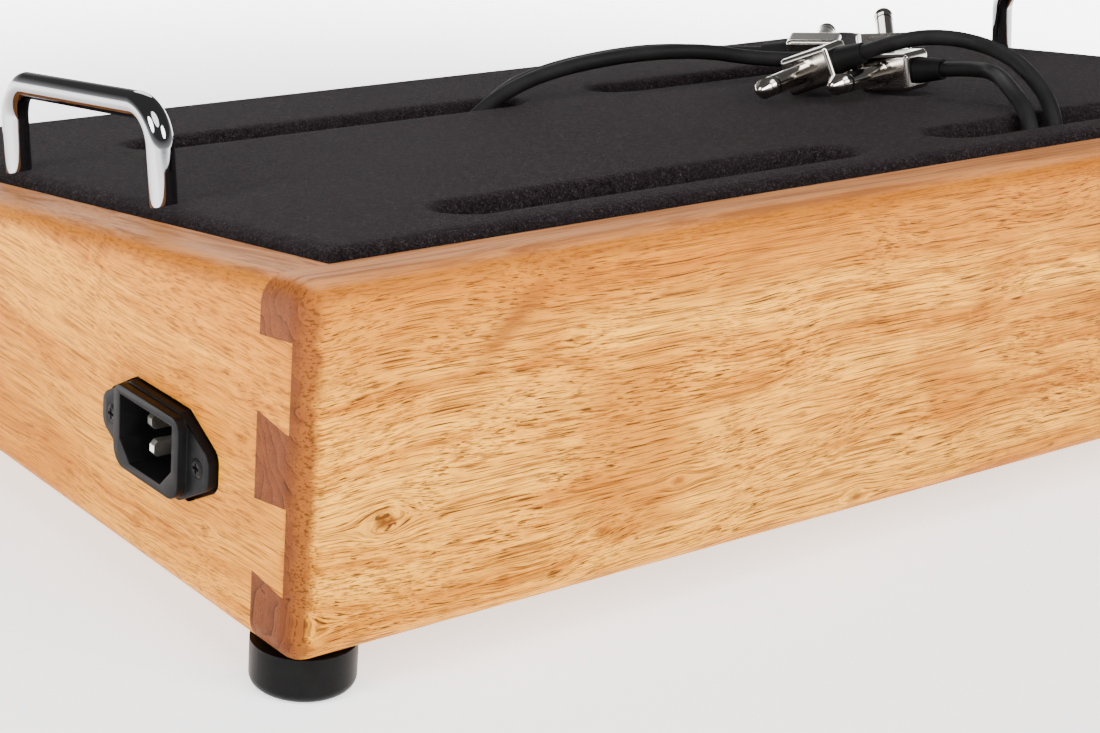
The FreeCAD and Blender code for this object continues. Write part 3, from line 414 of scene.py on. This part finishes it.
    def shade_pocket_walls(self, colour, pocket):
        """The walls of the inlet's pocket, sunk below the outer face, are painted dark: painted shade in
        the recess.
        """
        middle, half_span, half_height = pocket
        sunk = self.step(self.math("ABSOLUTE", self.across), HALF_LENGTH - 0.1 * MM, HALF_LENGTH - 0.5 * MM)
        from_side = self.math("ABSOLUTE", self.math("SUBTRACT", self.along, middle[0]))
        from_height = self.math("ABSOLUTE", self.math("SUBTRACT", self.height, middle[1]))
        by_side = self.math("LESS_THAN", from_side, half_span)
        by_height = self.math("LESS_THAN", from_height, half_height)
        inside = self.math("MULTIPLY", self.math("MULTIPLY", by_side, by_height), sunk)
        return self.mix(inside, colour, POCKET_PAINTED_SHADE)


def hardwood(name, along_y, seed, knots, feathers=(), pocket=None):
    """The material of one board, whose grain runs along y or x."""
    n = Hardwood(name, along_y, seed, knots, feathers)
    colour = n.round_corners(n.long_grain(), n.end_grain())
    colour = n.top_edges(colour)
    # painted shade on the walls of the inlet's pocket
    if pocket is not None:
        colour = n.shade_pocket_walls(colour, pocket)
    pores = n.math("ADD", n.pores, n.long_pores)
    relief = n.math("SUBTRACT", n.math("MULTIPLY", n.fine, 0.5), pores)
    normal = n.bump(relief, 0.30, 0.00012)
    rough = n.step(n.streak, 0.3, 0.7, 0.52, 0.42)
    return n.finish(Base_Color=colour, Roughness=rough, Normal=normal, Specular_IOR_Level=0.045)


def plain_timber(name, along_y, colour, dark):
    """Unfinished timber or ply: faint streaks along one axis."""
    n = Nodes(name)
    stretch = (400, 12, 400) if along_y else (12, 400, 400)
    streak = n.noise(n.vector("MULTIPLY", n.position, stretch), 1.0, 5, 0.6)
    broad = n.noise(n.vector("MULTIPLY", n.position, tuple(s / 8 for s in stretch)), 1.0, 2)
    shade = n.ramp(streak, (0.35, dark), (0.62, colour))
    shade = n.mix(n.step(broad, 0.4, 0.65, 0.0, 0.3), shade, dark)
    return n.finish(Base_Color=shade, Roughness=0.75, Normal=n.bump(streak, 0.3, 0.0002))


give(hardwood("hardwood_rear", False, 1, REAR_KNOTS, REAR_FEATHERS), "rear_board")
give(hardwood("hardwood_front", False, 3, FRONT_KNOTS), "front_board")
# the middle of the inlet's pocket, along and up the right side board, and its half width and height, where
# the pocket walls get painted shade
INLET_POCKET = ((84 * MM, 49.5 * MM), 27 * MM, 13 * MM)
give(hardwood("hardwood_right", True, 5, SIDE_KNOTS, pocket=INLET_POCKET), "right_side_board")
give(hardwood("hardwood_left", True, 8, SIDE_KNOTS[:2]), "left_side_board")
PLY = ((0.66, 0.47, 0.28), (0.55, 0.36, 0.20))
PINE = ((0.70, 0.50, 0.29), (0.56, 0.35, 0.17))
give(plain_timber("birch_ply", False, *PLY), "base_panel", "deck_core")
give(plain_timber("pine_strip", False, *PINE), "deck_cleat_rear", "deck_cleat_front")
give(plain_timber("pine_side_strip", True, *PINE), "deck_cleat_left", "deck_cleat_right")

# --- metal, plastic and rubber -------------------------------------------------------------------


def polished(name, colour, roughness, haze):
    """Plated metal: bright, with faint wipe marks and a slightly uneven surface."""
    n = Nodes(name)
    wipe = n.noise(n.position, 90, 3, 0.6)
    fine = n.noise(n.position, 900, 2, 0.5)
    rough = n.step(wipe, 0.35, 0.75, roughness, roughness + haze)
    return n.finish(
        Base_Color=colour, Metallic=1.0, Roughness=rough, Normal=n.bump(fine, 0.04, 0.00005)
    )


def moulded(name, colour, roughness, grain=2200, depth=0.00006, scuff=0.1):
    """Moulded plastic or rubber: a fine spark-eroded texture and a few duller patches."""
    n = Nodes(name)
    texture = n.noise(n.position, grain, 3, 0.6)
    patch = n.noise(n.position, 70, 3, 0.6)
    lighter = tuple(c * 1.7 + 0.004 for c in colour)
    shade = n.mix(n.step(patch, 0.40, 0.75, 0.0, 0.5), colour, lighter)
    rough = n.step(patch, 0.35, 0.7, roughness, roughness + scuff)
    return n.finish(
        Base_Color=shade, Roughness=rough, Normal=n.bump(texture, 0.35, depth), Specular_IOR_Level=0.07
    )


def brushed(name, colour):
    """Zinc or machined metal with fine lines."""
    n = Nodes(name)
    lines = n.noise(n.vector("MULTIPLY", n.position, (60, 2500, 2500)), 1.0, 3, 0.6)
    return n.finish(
        Base_Color=n.mix(n.step(lines, 0.4, 0.7, 0.0, 0.4), colour, tuple(c * 0.7 for c in colour)),
        Metallic=1.0,
        Roughness=n.step(lines, 0.35, 0.7, 0.26, 0.42),
        Normal=n.bump(lines, 0.1, 0.00003),
    )


# the chrome's base colour is darker than real plated chrome: painted shade that dims its reflections,
# standing in for dark surroundings
chrome = polished("chrome", (0.26, 0.26, 0.27), 0.03, 0.03)
nickel = polished("nickel", (0.55, 0.51, 0.46), 0.10, 0.08)
blade_nickel = polished("blade_nickel", (0.80, 0.75, 0.66), 0.28, 0.1)
zinc = brushed("zinc", (0.60, 0.60, 0.58))
aluminium = brushed("aluminium", (0.62, 0.63, 0.65))
inlet_black = moulded("inlet_black", (0.003, 0.003, 0.0034), 0.34)
screw_black = moulded("screw_black", (0.005, 0.005, 0.005), 0.28, scuff=0.12)
foot_black = moulded("foot_black", (0.003, 0.003, 0.003), 0.28, 1600, 0.00008, 0.12)
boot_black = moulded("boot_black", (0.007, 0.007, 0.007), 0.55)
cable_black = moulded("cable_black", (0.010, 0.0095, 0.0095), 0.50, 1400, 0.00008)
gloss_black = moulded("gloss_black", (0.006, 0.006, 0.006), 0.16)
board_green = moulded("board_green", (0.02, 0.16, 0.06), 0.35)
iron = brushed("iron", (0.22, 0.22, 0.23))

PLUGS = (1, 2, 3, 4)
give(nickel, "plug_tips_1", "plug_tips_2")
give(nickel, *[f"plug_{part}_{i}" for i in PLUGS for part in ("body", "sleeve")])
give(gloss_black, "plug_insulators_1", "plug_insulators_2", "psu_dc_sockets")
give(boot_black, "inlet_boot", "psu_gland", "lead_clips", "mains_lead_clips")
give(boot_black, *[f"plug_strain_relief_{i}" for i in PLUGS])
give(cable_black, "mains_lead")
give(blade_nickel, "inlet_live_pin", "inlet_neutral_pin", "inlet_earth_pin")
give(
    zinc, "cleat_screws", "foot_screws", "foot_washers", "handle_screws", "handle_washers",
    "psu_lid_screws", "psu_mounting_screws", "lead_clip_screws", "mains_clip_screws",
)
give(aluminium, "psu_case", "psu_lid")
give(board_green, "psu_circuit_board")
give(iron, "psu_transformer")
give(foot_black, *[f"foot_{end}_{side}" for end in ("rear", "front") for side in ("left", "right")])


def softened(name, source, material, width, segments=3):
    """A copy of a CAD node's mesh with its sharp edges rounded, which stands in for the node."""
    mesh = NODES[source].data.copy()
    mesh.name = name
    work = bmesh.new()
    work.from_mesh(mesh)
    bmesh.ops.remove_doubles(work, verts=work.verts, dist=0.00002)
    bmesh.ops.dissolve_limit(work, angle_limit=math.radians(2), verts=work.verts, edges=work.edges)
    work.to_mesh(mesh)
    work.free()
    piece = link(bpy.data.objects.new(name, mesh))
    bevel = piece.modifiers.new("edges", "BEVEL")
    bevel.width = width
    bevel.segments = segments
    bevel.limit_method = "ANGLE"
    bevel.angle_limit = math.radians(28)
    bevel.harden_normals = True
    for face in mesh.polygons:
        face.use_smooth = True
    give(material, piece)
    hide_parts(source)
    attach(piece, NODES[source]["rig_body"])
    return piece


softened("inlet_moulding", "inlet_body", inlet_black, 0.7 * MM)
softened("inlet_fixings", "inlet_screws", screw_black, 0.2 * MM, 2)

# --- handles -------------------------------------------------------------------------------------

ROD_RADIUS = 3.7 * MM
HANDLE_X = HALF_LENGTH - 24 * MM
HANDLE_Y = 3 * MM
HANDLE_SPACING = 79 * MM
HANDLE_TOP = 27.3 * MM
HANDLE_BEND = 10 * MM
BEND_STEPS = 20
POST_FOOT = -0.5 * MM


def bent_rod(name, x, source):
    """A smooth round rod: a post, a bend, the bar, a bend and a post, square to the deck."""
    spots = [Vector((x, HANDLE_Y - HANDLE_SPACING / 2, POST_FOOT))]
    for side in (-1, 1):
        centre = Vector((x, HANDLE_Y + side * (HANDLE_SPACING / 2 - HANDLE_BEND), HANDLE_TOP - HANDLE_BEND))
        for k in range(BEND_STEPS + 1):
            angle = math.radians(90) * k / BEND_STEPS
            if side > 0:
                angle = math.radians(90) - angle
            spots.append(centre + HANDLE_BEND * Vector((0, side * math.cos(angle), math.sin(angle))))
    spots.append(Vector((x, HANDLE_Y + HANDLE_SPACING / 2, POST_FOOT)))
    data = bpy.data.curves.new(name, "CURVE")
    data.dimensions = "3D"
    spline = data.splines.new("POLY")
    spline.points.add(len(spots) - 1)
    for point, spot in zip(spline.points, spots):
        point.co = (*(DECK @ spot), 1)
    spline.use_smooth = True
    data.bevel_depth = ROD_RADIUS
    data.bevel_resolution = 14
    data.use_fill_caps = True
    piece = link(bpy.data.objects.new(name, data))
    give(chrome, piece)
    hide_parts(source)
    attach(piece, "deck")


bent_rod("handle_rod_left", -HANDLE_X, "handle_left")
bent_rod("handle_rod_right", HANDLE_X, "handle_right")

# --- patch leads ---------------------------------------------------------------------------------

LEAD_RADIUS = 2.5 * MM

# control points in the deck's frame, in metres: over the deck, down a front slot, along underneath,
# and up a rear slot
LEAD_1 = [
    (-0.0812, -0.0050, 0.0116),
    (-0.0708, -0.0150, 0.0113),
    (-0.0580, -0.0215, 0.0128),
    (-0.0430, -0.0243, 0.0159),
    (-0.0270, -0.0290, 0.0168),
    (-0.0100, -0.0325, 0.0162),
    (0.0060, -0.0370, 0.0142),
    (0.0200, -0.0415, 0.0106),
    (0.0315, -0.0460, 0.0045),
    (0.0400, -0.0500, -0.0040),
    (0.0435, -0.0515, -0.0180),
    (0.0390, -0.0465, -0.0310),
    (0.0280, -0.0340, -0.0370),
    (0.0155, -0.0185, -0.0330),
    (0.0060, -0.0040, -0.0225),
    (-0.0010, 0.0085, -0.0140),
    (-0.0090, 0.0255, -0.0140),
    (-0.0160, 0.0400, -0.0215),
    (-0.0260, 0.0565, -0.0305),
    (-0.0385, 0.0730, -0.0360),
    (-0.0515, 0.0880, -0.0335),
    (-0.0600, 0.0985, -0.0220),
    (-0.0625, 0.1010, -0.0080),
    (-0.0645, 0.0960, 0.0045),
    (-0.0690, 0.0845, 0.0105),
    (-0.0785, 0.0720, 0.0125),
    (-0.0855, 0.0582, 0.0130),
    (-0.0824, 0.0452, 0.0119),
]
LEAD_2 = [
    (-0.0822, -0.0390, 0.0108),
    (-0.0740, -0.0488, 0.0109),
    (-0.0610, -0.0520, 0.0124),
    (-0.0450, -0.0475, 0.0142),
    (-0.0285, -0.0440, 0.0152),
    (-0.0110, -0.0420, 0.0150),
    (0.0050, -0.0450, 0.0130),
    (0.0185, -0.0495, 0.0090),
    (0.0280, -0.0530, 0.0020),
    (0.0335, -0.0550, -0.0080),
    (0.0325, -0.0525, -0.0220),
    (0.0230, -0.0430, -0.0330),
    (0.0085, -0.0285, -0.0350),
    (-0.0050, -0.0125, -0.0265),
    (-0.0130, 0.0030, -0.0140),
    (-0.0210, 0.0200, -0.0140),
    (-0.0285, 0.0360, -0.0210),
    (-0.0380, 0.0540, -0.0285),
    (-0.0505, 0.0700, -0.0330),
    (-0.0630, 0.0840, -0.0320),
    (-0.0710, 0.0960, -0.0220),
    (-0.0730, 0.1010, -0.0080),
    (-0.0745, 0.0970, 0.0055),
    (-0.0790, 0.0855, 0.0130),
    (-0.0840, 0.0715, 0.0180),
    (-0.0835, 0.0575, 0.0215),
    (-0.0760, 0.0470, 0.0232),
    (-0.0663, 0.0398, 0.0218),
    (-0.0629, 0.0286, 0.0178),
]


def patch_lead(number, route, plugs):
    """One lead: a smooth round cord through its control points, between the CAD plugs on its ends."""
    data = bpy.data.curves.new(f"lead_curve_{number}", "CURVE")
    data.dimensions = "3D"
    spline = data.splines.new("NURBS")
    spline.points.add(len(route) - 1)
    for point, spot in zip(spline.points, route):
        point.co = (*(DECK @ Vector(spot)), 1)
    spline.order_u = 3
    spline.use_endpoint_u = True
    spline.resolution_u = 10
    data.bevel_depth = LEAD_RADIUS
    data.bevel_resolution = 5
    data.use_fill_caps = True
    piece = link(bpy.data.objects.new(f"cord_{number}", data))
    data.materials.append(cable_black)
    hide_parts(f"patch_lead_{number}")
    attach(piece, "deck")
    parts = [NODES[f"plug_{part}_{i}"] for i in plugs for part in ("body", "strain_relief", "sleeve")]
    parts += [NODES[f"plug_insulators_{number}"], NODES[f"plug_tips_{number}"]]


patch_lead(1, LEAD_1, (1, 3))
patch_lead(2, LEAD_2, (2, 4))

# --- felt ----------------------------------------------------------------------------------------

FELT_TOP = 3 * MM
FELT_BOTTOM = -9.2 * MM
FELT_ROLL = 3.6 * MM
FELT_GAP = 0.4 * MM
FELT_CORNER = 3 * MM
FELT_THICKNESS = 2.2 * MM
FELT_GRID = 1.9 * MM
OPENING_DEPTH = 0.6 * MM
SLOT_LENGTH = 140 * MM
SLOT_WIDTH = 17 * MM
SLOTS = [(i * 89 * MM, y) for y in (99.5 * MM, -52 * MM) for i in (-1, 1)]

FELT_FIBRES = (
    (0.39, (0.0020, 0.0014, 0.0016)),
    (0.52, (0.0128, 0.0093, 0.0103)),
    (0.66, (0.0530, 0.0415, 0.0445)),
)


def felt_material():
    """Charcoal needle-felt: matted fibres, pale lint and a soft sheen."""
    n = Nodes("felt")
    matted = n.noise(n.position, 950, 5, 0.8, 1.5)
    clumps = n.noise(n.position, 460, 4, 0.7, 0.8)
    waves = n.noise(n.position, 35, 3, 0.5)
    lint = n.step(n.noise(n.position, 1500, 2, 0.5), 0.66, 0.74)
    colour = n.ramp(matted, *FELT_FIBRES)
    colour = n.mix(n.step(clumps, 0.38, 0.62, 0.35, 0.0), colour, (0.0012, 0.0010, 0.0010))
    colour = n.mix(n.step(waves, 0.35, 0.70, 0.0, 0.30), colour, (0.014, 0.0112, 0.012))
    colour = n.mix(n.math("MULTIPLY", lint, 0.38), colour, (0.13, 0.11, 0.112))
    normal = n.bump(clumps, 0.50, 0.0007)
    normal = n.bump(matted, 0.80, 0.0007, normal)
    return n.finish(
        Base_Color=colour, Roughness=0.96, Specular_IOR_Level=0.04, Normal=normal,
        Sheen_Weight=0.035, Sheen_Roughness=0.5, Sheen_Tint=(0.62, 0.54, 0.55),
    )


def rounded_loop(half_x, half_y, radius, centre=(0.0, 0.0), steps=8):
    """The points of a rectangle with round corners; a slot is one whose radius is half its width."""
    points = []
    for quarter, (i, j) in enumerate(((1, 1), (-1, 1), (-1, -1), (1, -1))):
        corner = Vector((centre[0] + i * (half_x - radius), centre[1] + j * (half_y - radius)))
        for k in range(steps + 1):
            angle = math.radians(90) * (quarter + k / steps)
            points.append(corner + radius * Vector((math.cos(angle), math.sin(angle))))
    return points


def felt_block():
    """The felt's outer form, upright like the frame: a flat block with rolled edges and four slots."""
    data = bpy.data.curves.new("felt_outline", "CURVE")
    data.dimensions = "2D"
    data.fill_mode = "BOTH"
    half_x = HALF_LENGTH - BOARD - FELT_GAP
    half_y = HALF_DEPTH - BOARD - FELT_GAP
    loops = [rounded_loop(half_x, half_y, FELT_CORNER)]
    slot_corner = SLOT_WIDTH / 2 - 0.01 * MM
    loops += [rounded_loop(SLOT_LENGTH / 2, SLOT_WIDTH / 2, slot_corner, spot) for spot in SLOTS]
    for loop in loops:
        spline = data.splines.new("POLY")
        spline.points.add(len(loop) - 1)
        for point, spot in zip(spline.points, loop):
            point.co = (*spot, 0, 1)
        spline.use_cyclic_u = True
    height = (FELT_TOP - FELT_BOTTOM) / math.cos(SLOPE)
    data.bevel_depth = FELT_ROLL
    data.bevel_resolution = 4
    data.offset = -FELT_ROLL
    data.extrude = height / 2 - FELT_ROLL
    outline = link(bpy.data.objects.new("felt_outline", data))
    bpy.context.view_layer.update()
    mesh = bpy.data.meshes.new_from_object(outline.evaluated_get(bpy.context.evaluated_depsgraph_get()))
    bpy.data.objects.remove(outline)
    lean = math.tan(SLOPE)
    middle = TOP_AT_MIDDLE + (FELT_TOP + FELT_BOTTOM) / 2 / math.cos(SLOPE)
    for vertex in mesh.vertices:
        vertex.co.z += middle + lean * vertex.co.y
    return mesh


def make_felt():
    """The felt covering: an even mesh over the block, opened underneath and given its thickness."""
    mesh = felt_block()
    mesh.name = "felt_cover"
    piece = link(bpy.data.objects.new("felt_cover", mesh))
    remesh = piece.modifiers.new("even", "REMESH")
    remesh.mode = "VOXEL"
    remesh.voxel_size = FELT_GRID
    smooth = piece.modifiers.new("smooth", "SMOOTH")
    smooth.iterations = 2
    bpy.context.view_layer.update()
    even = bpy.data.meshes.new_from_object(piece.evaluated_get(bpy.context.evaluated_depsgraph_get()))
    piece.modifiers.clear()
    piece.data = even
    work = bmesh.new()
    work.from_mesh(even)
    lean = math.tan(SLOPE)
    opening = TOP_AT_MIDDLE + (FELT_BOTTOM + OPENING_DEPTH) / math.cos(SLOPE)
    middles = [(face, face.calc_center_median()) for face in work.faces]
    under = [face for face, middle in middles if middle.z - lean * middle.y < opening]
    bmesh.ops.delete(work, geom=under, context="FACES")
    work.to_mesh(even)
    work.free()
    for face in even.polygons:
        face.use_smooth = True
    thickness = piece.modifiers.new("thickness", "SOLIDIFY")
    thickness.thickness = FELT_THICKNESS
    thickness.offset = -1
    give(felt_material(), piece)
    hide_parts("deck_carpet")
    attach(piece, "deck")


make_felt()

# --- floor and light -----------------------------------------------------------------------------

FLOOR_HALF = 6
# painted light: the floor's glow near the object, which is a painted shadow round it, and far from it (also
# the sky's strength), and the distances in m over which it rises
GLOW_NEAR = 1.3
GLOW_FAR = 6.0
GLOW_RISE = (0.28, 0.70)


def make_stage():
    """A plain pale floor with painted light: it glows like a lit white sweep, and more so away from the
    object, so that the dimmer glow near the object is a painted shadow round it.
    """
    mesh = bpy.data.meshes.new("floor")
    sides = ((-1, -1), (1, -1), (1, 1), (-1, 1))
    corners = [(i * FLOOR_HALF, j * FLOOR_HALF, 0) for i, j in sides]
    mesh.from_pydata(corners, [], [(0, 1, 2, 3)])
    floor = link(bpy.data.objects.new("floor", mesh))
    n = Nodes("floor")
    white = n.finish(Base_Color=(0.93, 0.93, 0.93), Roughness=0.8)
    # painted light: emission on the floor, dimmer near the object as a painted shadow
    n.shader.inputs["Emission Color"].default_value = (1, 1, 1, 1)
    away = n.vector("LENGTH", n.position)
    n.join(n.step(away, *GLOW_RISE, GLOW_NEAR, GLOW_FAR), n.shader.inputs["Emission Strength"])
    give(white, floor)


def area_light(name, spot, target, size, power):
    """A round soft box that faces a point."""
    data = bpy.data.lights.new(name, "AREA")
    data.shape = "DISK"
    data.size = size
    data.energy = power
    lamp = link(bpy.data.objects.new(name, data))
    lamp.location = spot
    lamp.rotation_euler = (Vector(target) - Vector(spot)).to_track_quat("-Z", "Y").to_euler()


# height of the view direction and grey: as bright as the far floor at the horizon, dim overhead
SKY_STOPS = ((0.0, 1.0), (0.04, 0.20), (0.10, 0.12), (0.30, 0.019))


def make_light():
    """A white sweep under a dim ceiling, soft boxes behind, beside and above, and a fill in front."""
    world = bpy.data.worlds.new("world")
    world.use_nodes = True
    tree = world.node_tree
    direction = tree.nodes.new("ShaderNodeTexCoord")
    split = tree.nodes.new("ShaderNodeSeparateXYZ")
    level = tree.nodes.new("ShaderNodeValToRGB")
    tree.links.new(direction.outputs["Generated"], split.inputs[0])
    tree.links.new(split.outputs["Z"], level.inputs[0])
    elements = level.color_ramp.elements
    while len(elements) < len(SKY_STOPS):
        elements.new(0.5)
    for element, (height, grey) in zip(elements, SKY_STOPS):
        element.position = height
        element.color = (grey, grey, grey, 1)
    background = tree.nodes["Background"]
    tree.links.new(level.outputs[0], background.inputs["Color"])
    background.inputs["Strength"].default_value = GLOW_FAR
    scene.world = world
    area_light("rear_soft_box", (-0.15, 1.30, 0.98), (0.05, 0.10, 0.05), 0.75, 24)
    area_light("side_soft_box", (1.40, 0.25, 0.85), (0.15, 0.05, 0.05), 0.70, 20)
    area_light("top_soft_box", (0.75, 0.85, 1.9), (0.0, 0.0, 0.05), 1.3, 30)
    area_light("front_fill", (-0.70, -1.50, 1.0), (0.0, -0.10, 0.05), 1.0, 12)


make_stage()
make_light()
